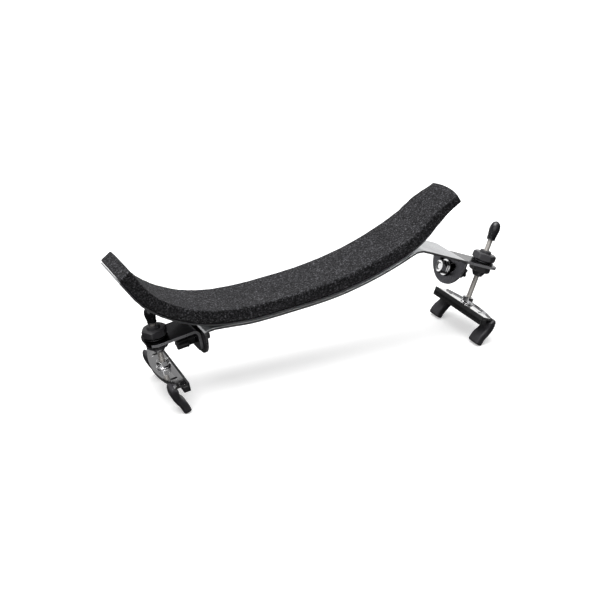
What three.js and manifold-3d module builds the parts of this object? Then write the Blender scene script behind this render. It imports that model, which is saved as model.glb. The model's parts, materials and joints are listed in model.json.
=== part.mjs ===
// Violin shoulder rest: a bent aluminium bar under a foam pad, with a tilting arm,
// a threaded leg and a rubber-clawed fork at each end. Millimetres, +Z up, +X along
// the length, standing on its four claws.

import * as THREE from 'three';
import { mergeVertices } from 'three/addons/utils/BufferGeometryUtils.js';
import Module from 'manifold-3d';

const wasm = await Module();
wasm.setup();

// ---------------------------------------------------------------- driving sizes

const GAP = 0.3;                  // clearance kept between touching pieces

const PAD_WIDTH = 38;
const PAD_THICKNESS = 8;
const PAD_THINNING = 2.4;         // lost towards the right tip
const PAD_TIP_WIDTH = 31;         // the right end narrows to this
const PAD_TAPER_LENGTH = 55;
const PAD_TIP_ROUND = 56;         // radius of the right end in plan
const CARRIER_MARGIN = 0.5;       // the carrier is this much narrower on each side
const CARRIER_TIP_MARGIN = 4;     // and this much where the pad narrows
const CARRIER_THICKNESS = 1;
const CARRIER_INSET = 1.5;        // the carrier stops short of the pad's ends

const BAR_WIDTH = 38;
const BAR_THICKNESS = 1.5;
const BAR_BEND_RADIUS = 2.4;
const CREST_RADIUS = 10;          // of the bar's rounded crest
const CREST_REACH = 35;           // from the right bend back to the crest
const CREST_TURN = 42;
const FLANGE_DEPTH = 21.4;        // of the half-round flanges at the bar's ends
const SLOT_RADIUS = 11;           // arc slot, centred on the flange's top edge
const SLOT_WIDTH = 5.6;
const SLOT_HALF_ANGLE = 40;

const ARM_WIDTH = 22;
const ARM_THICKNESS = 1.8;
const ARM_DROP = 1.4;             // arm top below the bar's top
const ARM_BEND_RADIUS = 4.2;
const ARM_REACH = 24.8;           // from the flange to the leg's axis
const ARM_OVERHANG = 8;           // beyond the leg's axis
const ARM_CORNER = 7;
const ARM_FLANGE_DEPTH = 18;

const BOLT_DIAMETER = 5;
const BOLT_HEAD_FLATS = 8;
const BOLT_HEAD_HEIGHT = 4.2;
const TILT_WASHER_DIAMETER = 11.4;
const TILT_WASHER_THICKNESS = 1;
const KNOB_NECK_DIAMETER = 7.4;
const KNOB_NECK_LENGTH = 4.6;
const KNOB_DIAMETER = 9.2;
const KNOB_LENGTH = 11.4;
const KNOB_LOBES = 6;

const ROD_DIAMETER = 3.4;
const ROD_FOOT_DIAMETER = 6;
const NUT_FLATS = 14;
const NUT_HEIGHT = 5;
const NUT_WASHER_DIAMETER = 15;
const NUT_WASHER_THICKNESS = 0.8;
const INSERT_DIAMETER = 7.6;
const INSERT_STAND_OUT = 1.8;
const LOWER_NUT_FLATS = 12.8;
const LOWER_NUT_HEIGHT = 4.4;
const COLLAR_HEIGHT = 3.4;
const CAP_DIAMETER = 6.4;

const FORK_LENGTH = 59;
const FORK_WIDTH = 12.4;
const FORK_THICKNESS = 1.5;
const FORK_INNER_EDGE = 5.3;      // from the leg's axis to the fork's straight edge
const FORK_ARC_RADIUS = 75;       // of the fork's outer edge
const FORK_RIM = 0.9;
const FORK_NUT_FLATS = 7;
const FORK_NUT_HEIGHT = 4.4;
const LIP_DEPTH = 2.6;
const BUMPER_WIDTH = 4.4;
const BUMPER_HEIGHT = 3.8;

const TONGUE_WIDTH = 8;
const TONGUE_THICKNESS = 1.4;
const TONGUE_OFFSET = 25.5;       // along the fork, each way from the leg
const SLEEVE_WIDTH = 10.6;
const SLEEVE_THICKNESS = 5;

// The two ends. x, z: the bar's top corner at its end bend; tilt: how far the bar's
// end, and the whole arm with it, slopes down outwards; drop: arm to fork along the
// leg; swivel: of the fork about the leg; capAbove: arm to the cap's lower edge;
// capLength: of the rubber cap.
const ENDS = {
  left: {
    turn: Math.PI, x: 87.6, z: 47.8, tilt: 9.8, drop: 21.05, swivel: -2, capAbove: 10, capLength: 10.2,
  },
  right: {
    turn: 0, x: 96, z: 58.6, tilt: 22.4, drop: 30.1, swivel: 0, capAbove: 15.8, capLength: 13,
  },
};

// Underside of the foam pad, seen from the front, left to right.
const PAD_CURVE = [
  [-136.6, 89.8], [-123, 71.4], [-107, 60.2], [-86, 52.4], [-62, 49.7], [-32, 51.6],
  [5, 56.4], [40, 66.8], [58, 75.2], [68, 81.4], [81, 92.2], [93.4, 100.1],
];

// ---------------------------------------------------------------- materials

const finish = (color, roughness, metalness) =>
  new THREE.MeshStandardMaterial({ color, roughness, metalness });

const foam = () => finish(0x2b2b2e, 0.95, 0);
const aluminium = () => finish(0xd6d7d9, 0.35, 1);
const nickel = () => finish(0xc9c8c4, 0.15, 1);
const steel = () => finish(0xb8b4ac, 0.3, 1);
const blackSteel = () => finish(0x1c1c20, 0.3, 0.6);
const blackPlastic = () => finish(0x26262a, 0.45, 0);
const rubber = () => finish(0x222226, 0.7, 0);

// ---------------------------------------------------------------- solids

const radians = (degrees) => (degrees * Math.PI) / 180;

function toSolid(geometry) {
  const bare = geometry.index ? geometry.toNonIndexed() : geometry.clone();
  bare.deleteAttribute('normal');
  bare.deleteAttribute('uv');
  const merged = mergeVertices(bare, 1e-4);
  const corners = merged.index.array;
  const triangles = [];
  for (let i = 0; i < corners.length; i += 3) {
    const [a, b, c] = corners.slice(i, i + 3);
    if (a !== b && b !== c && c !== a) triangles.push(a, b, c);
  }
  return new wasm.Manifold(new wasm.Mesh({
    numProp: 3,
    vertProperties: merged.attributes.position.array,
    triVerts: new Uint32Array(triangles),
  }));
}

function toGeometry(solid) {
  const mesh = solid.getMesh();
  const geometry = new THREE.BufferGeometry();
  geometry.setAttribute('position', new THREE.BufferAttribute(mesh.vertProperties, mesh.numProp));
  geometry.setIndex(new THREE.BufferAttribute(mesh.triVerts, 1));
  return geometry;
}

const joined = (...pieces) =>
  toGeometry(pieces.map(toSolid).reduce((whole, piece) => whole.add(piece)));

const cut = (piece, ...tools) =>
  toGeometry(tools.map(toSolid).reduce((whole, tool) => whole.subtract(tool), toSolid(piece)));

// An outline drawn in X and Z, extruded along Y about its middle.
function acrossY(points, width) {
  const shape = new THREE.Shape(points);
  return new THREE.ExtrudeGeometry(shape, { depth: width, bevelEnabled: false })
    .rotateX(Math.PI / 2)
    .translate(0, width / 2, 0);
}

// An outline drawn in X and Y, extruded upwards from a given height.
function upwards(shape, bottom, height) {
  return new THREE.ExtrudeGeometry(shape, { depth: height, bevelEnabled: false, curveSegments: 12 })
    .translate(0, 0, bottom);
}

// An outline drawn in Y and Z, extruded along +X from a given place.
function alongX(shape, start, length) {
  return new THREE.ExtrudeGeometry(shape, { depth: length, bevelEnabled: false, curveSegments: 12 })
    .rotateZ(Math.PI / 2)
    .rotateY(Math.PI / 2)
    .translate(start, 0, 0);
}

// A turned piece about Z, from pairs of radius and height.
function turned(profile, segments = 28) {
  return new THREE.LatheGeometry(profile.map(([r, z]) => new THREE.Vector2(r, z)), segments)
    .rotateX(Math.PI / 2);
}

const ring = (inner, outer, bottom, top, segments) => turned(
  [[inner, bottom], [outer, bottom], [outer, top], [inner, top], [inner, bottom]], segments);

const pin = (radius, bottom, top, segments) => turned(
  [[0, bottom], [radius, bottom], [radius, top], [0, top]], segments);

function hexagon(flats) {
  const corner = flats / 2 / Math.cos(Math.PI / 6);
  const angles = [0, 1, 2, 3, 4, 5].map((i) => (i * Math.PI) / 3);
  return new THREE.Shape(
    angles.map((a) => new THREE.Vector2(corner * Math.cos(a), corner * Math.sin(a))));
}

// A strip of even thickness: the path is its upper face, from left to right.
function strip(path, thickness) {
  const lower = path.map((point, i) => {
    const before = path[Math.max(i - 1, 0)];
    const after = path[Math.min(i + 1, path.length - 1)];
    const along = after.clone().sub(before).normalize();
    return new THREE.Vector2(point.x + along.y * thickness, point.y - along.x * thickness);
  });
  return [...path, ...lower.reverse()];
}

// Points of a quarter bend about a centre, from one angle to another in degrees.
function bend(centreX, centreZ, radius, from, to, steps = 6) {
  return Array.from({ length: steps + 1 }, (_, i) => {
    const a = radians(from + ((to - from) * i) / steps);
    return new THREE.Vector2(centreX + radius * Math.cos(a), centreZ + radius * Math.sin(a));
  });
}

// ---------------------------------------------------------------- foam pad and carrier

const padCurve = new THREE.CatmullRomCurve3(
  PAD_CURVE.map(([x, z]) => new THREE.Vector3(x, z, 0)), false, 'centripetal');
const PAD_LENGTH = padCurve.getLength();

// A point a distance along the pad's underside, raised off it by a height.
function padPoint(distance, height) {
  const t = distance / PAD_LENGTH;
  const at = padCurve.getPointAt(t);
  const along = padCurve.getTangentAt(t);
  return new THREE.Vector2(at.x - along.y * height, at.y + along.x * height);
}

const padPoints = (from, to, height, steps) =>
  Array.from({ length: steps + 1 }, (_, i) => padPoint(from + ((to - from) * i) / steps, height));

// The frame at a distance along the pad's underside: +X along the pad, +Z out of its
// top, lifted by a height.
function padFrame(distance, height) {
  const at = padPoint(distance, height);
  const along = padCurve.getTangentAt(distance / PAD_LENGTH);
  return new THREE.Matrix4()
    .makeTranslation(at.x, 0, at.y)
    .multiply(new THREE.Matrix4().makeRotationY(-Math.atan2(along.y, along.x)));
}

// How far into the right end's taper a distance along the pad lies, from 0 to 1.
const tipShare = (distance, length) => {
  const share = Math.min(1, Math.max(0, 1 - (PAD_LENGTH - distance) / length));
  return share * share * (3 - 2 * share);
};

const padHalfWidth = (distance) =>
  (PAD_WIDTH - (PAD_WIDTH - PAD_TIP_WIDTH) * tipShare(distance, PAD_TAPER_LENGTH)) / 2;

// A band following the pad, between two distances along it and two heights above its
// underside.
function padBand(from, to, low, high, halfWidth, steps) {
  const positions = [];
  const index = [];
  for (let i = 0; i <= steps; i += 1) {
    const distance = from + ((to - from) * i) / steps;
    const half = halfWidth(distance);
    const under = padPoint(distance, low(distance));
    const over = padPoint(distance, high(distance));
    positions.push(under.x, -half, under.y, under.x, half, under.y);
    positions.push(over.x, half, over.y, over.x, -half, over.y);
  }
  for (let i = 0; i < steps; i += 1) {
    for (let side = 0; side < 4; side += 1) {
      const a = i * 4 + side;
      const b = i * 4 + ((side + 1) % 4);
      index.push(a, b, b + 4, a, b + 4, a + 4);
    }
  }
  const last = steps * 4;
  index.push(0, 2, 1, 0, 3, 2, last, last + 1, last + 2, last, last + 2, last + 3);
  const geometry = new THREE.BufferGeometry();
  geometry.setAttribute('position', new THREE.Float32BufferAttribute(positions, 3));
  geometry.setIndex(index);
  return geometry;
}

// What lies beyond the pad's right end, which is an arc in plan.
function tipTrim() {
  const outline = [
    new THREE.Vector2(9, -PAD_WIDTH), new THREE.Vector2(9, PAD_WIDTH),
    ...bend(-PAD_TIP_ROUND, 0, PAD_TIP_ROUND, 25, -25, 14),
  ];
  return upwards(new THREE.Shape(outline), -20, 40).applyMatrix4(padFrame(PAD_LENGTH, 0));
}

function foamPad() {
  const high = (distance) => PAD_THICKNESS - PAD_THINNING * tipShare(distance, 25);
  return cut(padBand(0, PAD_LENGTH, () => 0, high, padHalfWidth, 40), tipTrim());
}

const RIVET_PLACES = { left: 82, right: 187 };   // distances along the pad
const RIVET_DIAMETER = 3.6;

const rivetHoles = () => Object.values(RIVET_PLACES).map((distance) =>
  pin(RIVET_DIAMETER / 2 + GAP, -9, 3).applyMatrix4(padFrame(distance, -GAP)));

function carrierStrip() {
  const margin = (distance) => CARRIER_MARGIN
    + (CARRIER_TIP_MARGIN - CARRIER_MARGIN) * tipShare(distance, PAD_TAPER_LENGTH);
  const band = padBand(
    CARRIER_INSET, PAD_LENGTH - CARRIER_TIP_MARGIN, () => -GAP - CARRIER_THICKNESS, () => -GAP,
    (distance) => padHalfWidth(distance) - margin(distance), 36);
  return cut(band, ...rivetHoles());
}

function barRivet() {
  const radius = RIVET_DIAMETER / 2;
  const headTop = -CARRIER_THICKNESS - BAR_THICKNESS - 2 * GAP;
  return turned([
    [0, headTop - 1.3], [1.8, headTop - 1.2], [2.9, headTop - 0.7], [3.1, headTop],
    [radius, headTop], [radius, -GAP], [0, -GAP],
  ]);
}

// ---------------------------------------------------------------- base bar

// The frame at a bar end: origin on the bar's top corner, +X outwards along the arm,
// +Z square to it. The left end is the right one turned half way round.
function endFrame(end) {
  return new THREE.Matrix4()
    .makeRotationZ(end.turn)
    .multiply(new THREE.Matrix4().makeTranslation(end.x, 0, end.z))
    .multiply(new THREE.Matrix4().makeRotationY(radians(end.tilt)));
}

// The same, for a point of the front outline.
function endPoint(end, x, z) {
  const at = new THREE.Vector3(x, 0, z).applyMatrix4(endFrame(end));
  return new THREE.Vector2(at.x, at.z);
}

// What is cut off a straight end flange to leave it half round.
function flangeTrim() {
  const radius = BAR_WIDTH / 2 + 0.2;
  const middle = radius - FLANGE_DEPTH;
  const outside = BAR_WIDTH / 2 + 3;
  const outline = [
    new THREE.Vector2(-outside, middle), new THREE.Vector2(-outside, -FLANGE_DEPTH - 3),
    new THREE.Vector2(outside, -FLANGE_DEPTH - 3), new THREE.Vector2(outside, middle),
    ...bend(0, middle, radius, 360, 180, 28),
  ];
  return alongX(new THREE.Shape(outline), -BAR_THICKNESS - 1, BAR_THICKNESS + 2);
}

function arcSlot() {
  const half = SLOT_WIDTH / 2;
  const from = 270 - SLOT_HALF_ANGLE;
  const to = 270 + SLOT_HALF_ANGLE;
  const end = (angle) => bend(0, 0, SLOT_RADIUS, angle, angle, 1)[0];
  const outline = [
    ...bend(0, 0, SLOT_RADIUS + half, from, to, 12),
    ...bend(end(to).x, end(to).y, half, to, to + 180, 8).slice(1, -1),
    ...bend(0, 0, SLOT_RADIUS - half, to, from, 10),
    ...bend(end(from).x, end(from).y, half, from + 180, from + 360, 8).slice(1, -1),
  ];
  return alongX(new THREE.Shape(outline), -BAR_THICKNESS - 1, BAR_THICKNESS + 2);
}

function baseBar() {
  const r = BAR_BEND_RADIUS;
  const foot = -FLANGE_DEPTH - 1;
  const below = -(CARRIER_THICKNESS + 2 * GAP);
  const { left, right } = ENDS;
  const corner = bend(-r, -r, r, 0, 90);
  const crest = bend(-CREST_REACH, -CREST_RADIUS, CREST_RADIUS, 90 + CREST_TURN, 90, 5);
  const flat = new THREE.CatmullRomCurve3([
    endPoint(left, -r, 0), endPoint(left, -6, 0),
    ...padPoints(79, 200, below, 8),
    ...crest.map((p) => endPoint(right, p.x, p.y)),
    endPoint(right, -CREST_REACH / 2, 0), endPoint(right, -r, 0),
  ].map((p) => new THREE.Vector3(p.x, p.y, 0)), false, 'centripetal');
  const path = [
    endPoint(left, 0, foot),
    ...corner.map((p) => endPoint(left, p.x, p.y)),
    ...flat.getSpacedPoints(38).slice(1, -1).map((p) => new THREE.Vector2(p.x, p.y)),
    ...[...corner].reverse().map((p) => endPoint(right, p.x, p.y)),
    endPoint(right, 0, foot),
  ];
  const blank = acrossY(strip(path, BAR_THICKNESS), BAR_WIDTH);
  const cutters = [left, right].flatMap((end) =>
    [flangeTrim(), arcSlot()].map((cutter) => cutter.applyMatrix4(endFrame(end))));
  return cut(blank, ...cutters, ...rivetHoles());
}

// ---------------------------------------------------------------- arm and tilt clamp

const FLANGE_OUTER = GAP + ARM_THICKNESS;          // outer face of the arm's flange

function armBracket() {
  const r = ARM_BEND_RADIUS;
  const tip = ARM_REACH + ARM_OVERHANG;
  const path = [
    new THREE.Vector2(GAP, -ARM_FLANGE_DEPTH),
    ...bend(GAP + r, -ARM_DROP - r, r, 180, 90),
    new THREE.Vector2(tip, -ARM_DROP),
  ];
  const blank = acrossY(strip(path, ARM_THICKNESS), ARM_WIDTH);

  // Rounded outlines that trim the leg end in plan and the flange's lower corners.
  const half = ARM_WIDTH / 2;
  const planCentre = tip - ARM_CORNER;
  const plan = new THREE.Shape([
    new THREE.Vector2(planCentre, -half - 1), new THREE.Vector2(tip + 1, -half - 1),
    new THREE.Vector2(tip + 1, half + 1), new THREE.Vector2(planCentre, half + 1),
    ...bend(planCentre, half - ARM_CORNER, ARM_CORNER, 90, 0),
    ...bend(planCentre, ARM_CORNER - half, ARM_CORNER, 0, -90),
  ]);
  const legTrim = upwards(plan, -12, 20);
  const low = ARM_CORNER - ARM_FLANGE_DEPTH;
  const edge = new THREE.Shape([
    new THREE.Vector2(-half - 1, low), new THREE.Vector2(-half - 1, -ARM_FLANGE_DEPTH - 1),
    new THREE.Vector2(half + 1, -ARM_FLANGE_DEPTH - 1), new THREE.Vector2(half + 1, low),
    ...bend(half - ARM_CORNER, low, ARM_CORNER, 0, -90),
    ...bend(ARM_CORNER - half, low, ARM_CORNER, -90, -180),
  ]);
  const edgeTrim = alongX(edge, -3, 9);

  const legHole = pin(ROD_DIAMETER / 2 + GAP, -9, 3).translate(ARM_REACH, 0, 0);
  const boltHole = pin(BOLT_DIAMETER / 2 + GAP, -3, 9)
    .rotateY(Math.PI / 2).translate(0, 0, -SLOT_RADIUS);
  return cut(blank, legTrim, edgeTrim, legHole, boltHole);
}

// The clamp's pieces are drawn about the bolt's axis, with +Z outwards.
function tiltBolt() {
  const headTop = -(BAR_THICKNESS + TILT_WASHER_THICKNESS + 2 * GAP);
  const head = upwards(hexagon(BOLT_HEAD_FLATS), headTop - BOLT_HEAD_HEIGHT, BOLT_HEAD_HEIGHT);
  return joined(head, pin(BOLT_DIAMETER / 2, headTop - 1, FLANGE_OUTER + KNOB_LENGTH - 2));
}

const tiltWasher = () => {
  const top = -(BAR_THICKNESS + GAP);
  return ring(BOLT_DIAMETER / 2 + GAP, TILT_WASHER_DIAMETER / 2, top - TILT_WASHER_THICKNESS, top);
};

function lobedOutline(diameter, lobes, depth) {
  const steps = lobes * 8;
  return new THREE.Shape(Array.from({ length: steps }, (_, i) => {
    const a = (2 * Math.PI * i) / steps;
    const r = diameter / 2 - (depth * (1 - Math.cos(lobes * a))) / 2;
    return new THREE.Vector2(r * Math.cos(a), r * Math.sin(a));
  }));
}

function tiltKnob() {
  const start = FLANGE_OUTER + GAP;
  const headStart = start + KNOB_NECK_LENGTH;
  const neck = pin(KNOB_NECK_DIAMETER / 2, start, headStart + 1);
  const head = upwards(
    lobedOutline(KNOB_DIAMETER, KNOB_LOBES, 1.4), headStart, KNOB_LENGTH - KNOB_NECK_LENGTH);
  const bore = pin(BOLT_DIAMETER / 2 + GAP, start - 1, start + KNOB_LENGTH - 2);
  return cut(joined(neck, head), bore);
}

// ---------------------------------------------------------------- leg

// Drawn about the leg's axis, with Z = 0 on the arm's top face.
const nutWasher = () => ring(
  ROD_DIAMETER / 2 + GAP, NUT_WASHER_DIAMETER / 2, GAP, GAP + NUT_WASHER_THICKNESS);

const NUT_BOTTOM = 2 * GAP + NUT_WASHER_THICKNESS;
const INSERT_SEAT = NUT_BOTTOM + 1.2;

function heightNut() {
  const body = upwards(hexagon(NUT_FLATS), NUT_BOTTOM, NUT_HEIGHT);
  const bore = pin(ROD_DIAMETER / 2 + GAP, NUT_BOTTOM - 1, NUT_BOTTOM + NUT_HEIGHT + 1);
  const socket = pin(INSERT_DIAMETER / 2 + GAP, INSERT_SEAT - GAP, NUT_BOTTOM + NUT_HEIGHT + 1);
  return cut(body, bore, socket);
}

const INSERT_TOP = NUT_BOTTOM + NUT_HEIGHT + INSERT_STAND_OUT;
const nutInsert = () => ring(
  ROD_DIAMETER / 2 + GAP, INSERT_DIAMETER / 2, INSERT_SEAT, INSERT_TOP);

function lowerNut() {
  const top = -ARM_THICKNESS - GAP;
  const flangeBottom = top - LOWER_NUT_HEIGHT;
  const body = upwards(hexagon(LOWER_NUT_FLATS), flangeBottom, LOWER_NUT_HEIGHT);
  const collar = turned([
    [0, flangeBottom - COLLAR_HEIGHT], [3.2, flangeBottom - COLLAR_HEIGHT],
    [4.4, flangeBottom - 1], [4.6, flangeBottom + 1], [0, flangeBottom + 1],
  ]);
  const bore = pin(ROD_DIAMETER / 2 + GAP, flangeBottom - 9, top + 1);
  return cut(joined(body, collar), bore);
}

// The rod runs from its peened foot under the fork to the inside of the cap.
function legRod(end) {
  const r = ROD_DIAMETER / 2;
  const forkTop = -end.drop;
  const footTop = forkTop - FORK_THICKNESS - GAP;
  return turned([
    [0, footTop - 1.2], [2.6, footTop - 1.2], [ROD_FOOT_DIAMETER / 2, footTop], [r, footTop],
    [r, end.capAbove + end.capLength - 4], [0, end.capAbove + end.capLength - 3.4],
  ], 24);
}

function rodCap(end) {
  const outer = CAP_DIAMETER / 2;
  const { capAbove: low, capLength: tall } = end;
  const inner = ROD_DIAMETER / 2 + GAP;
  return turned([
    [inner, low], [outer - 0.5, low], [outer, low + tall * 0.55], [outer - 0.35, low + tall * 0.75],
    [outer - 1.3, low + tall * 0.93], [0, low + tall], [0, low + tall - 2.9],
    [inner, low + tall - 3.2], [inner, low],
  ], 24);
}

function forkNut(end) {
  const low = -end.drop + GAP;
  const seat = turned([
    [0, low], [4.6, low], [4.6, low + 0.7], [3.6, low + 1.3], [0, low + 1.3],
  ]);
  const hex = upwards(hexagon(FORK_NUT_FLATS), low + 1, FORK_NUT_HEIGHT - 1);
  return cut(joined(seat, hex), pin(ROD_DIAMETER / 2 + GAP, low - 1, low + FORK_NUT_HEIGHT + 1));
}

// ---------------------------------------------------------------- fork

// Drawn about the leg's axis, with Z = 0 on the fork's top face and +X outwards.
const OUTER_EDGE = FORK_WIDTH - FORK_INNER_EDGE;
const outerEdgeAt = (y) =>
  OUTER_EDGE - FORK_ARC_RADIUS + Math.sqrt(FORK_ARC_RADIUS ** 2 - y * y);

function forkPlan(inner, outerShift, halfLength) {
  const steps = 18;
  const cornerRadius = 2.5;
  const outer = Array.from({ length: steps + 1 }, (_, i) => {
    const y = -halfLength + (2 * halfLength * i) / steps;
    const round = Math.max(0, Math.abs(y) - (halfLength - cornerRadius)) / cornerRadius;
    const pull = cornerRadius * (1 - Math.sqrt(Math.max(0, 1 - round * round)));
    return new THREE.Vector2(outerEdgeAt(y) + outerShift - pull, y);
  });
  return new THREE.Shape([new THREE.Vector2(inner, -halfLength), ...outer,
    new THREE.Vector2(inner, halfLength)]);
}

// Middle line of a claw, seen along the fork: out over the plate's edge, down, and
// back in under it.
const clawLine = new THREE.CatmullRomCurve3([
  [-1, -0.75], [1.3, -0.8], [2.8, -1.9], [3.2, -4.2], [2.9, -7.2], [1.5, -10.4],
  [-0.2, -13], [-1.1, -15.2], [-1.5, -17],
].map(([x, z]) => new THREE.Vector3(x, z, 0)), false, 'centripetal');

// An outline of even thickness about part of the claw's line; roundEnd closes its
// lower end with a half circle.
function clawOutline(from, to, thickness, roundEnd) {
  const steps = 18;
  const side = (sign) => Array.from({ length: steps + 1 }, (_, i) => {
    const t = from + ((to - from) * i) / steps;
    const at = clawLine.getPointAt(t);
    const along = clawLine.getTangentAt(t);
    return new THREE.Vector2(
      at.x + (sign * along.y * thickness) / 2, at.y - (sign * along.x * thickness) / 2);
  });
  const end = clawLine.getPointAt(to);
  const along = clawLine.getTangentAt(to);
  const heading = (Math.atan2(along.y, along.x) * 180) / Math.PI;
  const round = roundEnd ? bend(end.x, end.y, thickness / 2, heading - 90, heading + 90, 8) : [];
  return [...side(1), ...round.slice(1, -1), ...side(-1).reverse()];
}

const TONGUE_END = 0.82;
const SLEEVE_START = 0.235;

function clawTongue(y) {
  return acrossY(clawOutline(0, TONGUE_END, TONGUE_THICKNESS, false), TONGUE_WIDTH)
    .translate(0, y, 0);
}

function clawSleeve(y) {
  const clearance = 2 * GAP;
  const sleeve = acrossY(clawOutline(SLEEVE_START, 1, SLEEVE_THICKNESS, true), SLEEVE_WIDTH);
  const pocket = acrossY(
    clawOutline(0.02, TONGUE_END + 0.03, TONGUE_THICKNESS + clearance, false),
    TONGUE_WIDTH + clearance);
  return cut(sleeve, pocket).translate(0, y, 0);
}

function forkPlate() {
  const half = FORK_LENGTH / 2;
  const plate = upwards(
    forkPlan(-FORK_INNER_EDGE, 0, half), -FORK_THICKNESS, FORK_THICKNESS);
  const rimBlank = upwards(
    forkPlan(-FORK_INNER_EDGE, 0, half), -FORK_THICKNESS, FORK_THICKNESS + FORK_RIM);
  const rimInside = upwards(
    forkPlan(-FORK_INNER_EDGE - 5, -1, half + 5), -FORK_THICKNESS - 1, 9);
  const lip = acrossY([
    new THREE.Vector2(-FORK_INNER_EDGE, -0.5),
    new THREE.Vector2(-FORK_INNER_EDGE, -FORK_THICKNESS - LIP_DEPTH),
    new THREE.Vector2(-FORK_INNER_EDGE + FORK_THICKNESS, -FORK_THICKNESS - LIP_DEPTH),
    new THREE.Vector2(-FORK_INNER_EDGE + FORK_THICKNESS, -0.5),
  ], FORK_LENGTH);
  const eyelet = new THREE.Shape();
  eyelet.absarc(1.2, 0, 1.1, -Math.PI / 2, Math.PI / 2, false);
  eyelet.absarc(-1.2, 0, 1.1, Math.PI / 2, (3 * Math.PI) / 2, false);
  const holes = [-1, 1].map((side) =>
    upwards(eyelet, -9, 18).translate(-0.5, side * 18.5, 0));
  const legHole = pin(ROD_DIAMETER / 2 + GAP, -9, 9);
  return cut(
    joined(plate, cut(rimBlank, rimInside), lip, clawTongue(TONGUE_OFFSET), clawTongue(-TONGUE_OFFSET)),
    legHole, ...holes);
}

// A rubber channel pushed on the fork's lip, notched round the rod's foot.
function forkBumper() {
  const middle = -FORK_INNER_EDGE + FORK_THICKNESS / 2;
  const top = -FORK_THICKNESS - GAP;
  const low = top - BUMPER_HEIGHT;
  const half = BUMPER_WIDTH / 2;
  const slot = FORK_THICKNESS / 2 + GAP;
  const slotLow = -FORK_THICKNESS - LIP_DEPTH - GAP;
  const corner = 1;
  const channel = acrossY([
    new THREE.Vector2(middle - half, top),
    new THREE.Vector2(middle - half, low + corner),
    new THREE.Vector2(middle - half + corner, low),
    new THREE.Vector2(middle + half - corner, low),
    new THREE.Vector2(middle + half, low + corner),
    new THREE.Vector2(middle + half, top),
    new THREE.Vector2(middle + slot, top),
    new THREE.Vector2(middle + slot, slotLow),
    new THREE.Vector2(middle - slot, slotLow),
    new THREE.Vector2(middle - slot, top),
  ], FORK_LENGTH + 1);
  return cut(channel, pin(ROD_FOOT_DIAMETER / 2 + GAP, top - 2, top + 1));
}

// ---------------------------------------------------------------- assembly

const rest = new THREE.Group();
const standing = new THREE.Group();
rest.add(standing);

function add(parent, name, geometry, material) {
  const mesh = new THREE.Mesh(geometry, material);
  mesh.name = name;
  parent.add(mesh);
  return mesh;
}

add(standing, 'foam_pad', foamPad(), foam());
add(standing, 'carrier_strip', carrierStrip(), aluminium());
add(standing, 'base_bar', baseBar(), aluminium());
for (const [side, distance] of Object.entries(RIVET_PLACES)) {
  add(standing, `bar_rivet_${side}`, barRivet().applyMatrix4(padFrame(distance, -GAP)), steel());
}

for (const [side, end] of Object.entries(ENDS)) {
  const arm = new THREE.Group();
  arm.applyMatrix4(endFrame(end));
  standing.add(arm);
  add(arm, `arm_bracket_${side}`, armBracket(), blackSteel());

  const clamp = new THREE.Group();
  clamp.position.z = -SLOT_RADIUS;
  clamp.rotation.y = Math.PI / 2;
  arm.add(clamp);
  add(clamp, `tilt_bolt_${side}`, tiltBolt(), nickel());
  add(clamp, `tilt_washer_${side}`, tiltWasher(), nickel());
  add(clamp, `tilt_knob_${side}`, tiltKnob(), blackPlastic());

  const leg = new THREE.Group();
  leg.position.set(ARM_REACH, 0, -ARM_DROP);
  arm.add(leg);
  add(leg, `nut_washer_${side}`, nutWasher(), blackSteel());
  add(leg, `height_nut_${side}`, heightNut(), blackPlastic());
  add(leg, `nut_insert_${side}`, nutInsert(), nickel());
  add(leg, `lower_nut_${side}`, lowerNut(), blackPlastic());
  add(leg, `leg_rod_${side}`, legRod(end), steel());
  add(leg, `rod_cap_${side}`, rodCap(end), rubber());
  add(leg, `fork_nut_${side}`, forkNut(end), nickel());

  const fork = new THREE.Group();
  fork.position.z = -end.drop;
  fork.rotation.z = radians(end.swivel);
  leg.add(fork);
  const front = side === 'left' ? 1 : -1;
  add(fork, `fork_plate_${side}`, forkPlate(), nickel());
  add(fork, `fork_bumper_${side}`, forkBumper(), rubber());
  add(fork, `claw_front_${side}`, clawSleeve(front * TONGUE_OFFSET), rubber());
  add(fork, `claw_back_${side}`, clawSleeve(-front * TONGUE_OFFSET), rubber());
}

// Stand the whole on Z = 0 with its box centred over the origin.
rest.updateMatrixWorld(true);
const box = new THREE.Box3().setFromObject(rest, true);
standing.position.set(-(box.min.x + box.max.x) / 2, -(box.min.y + box.max.y) / 2, -box.min.z);
rest.updateMatrixWorld(true);

export default rest;
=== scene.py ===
import json
import math

import bmesh
import bpy
import numpy as np
from mathutils import Matrix, Vector


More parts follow.
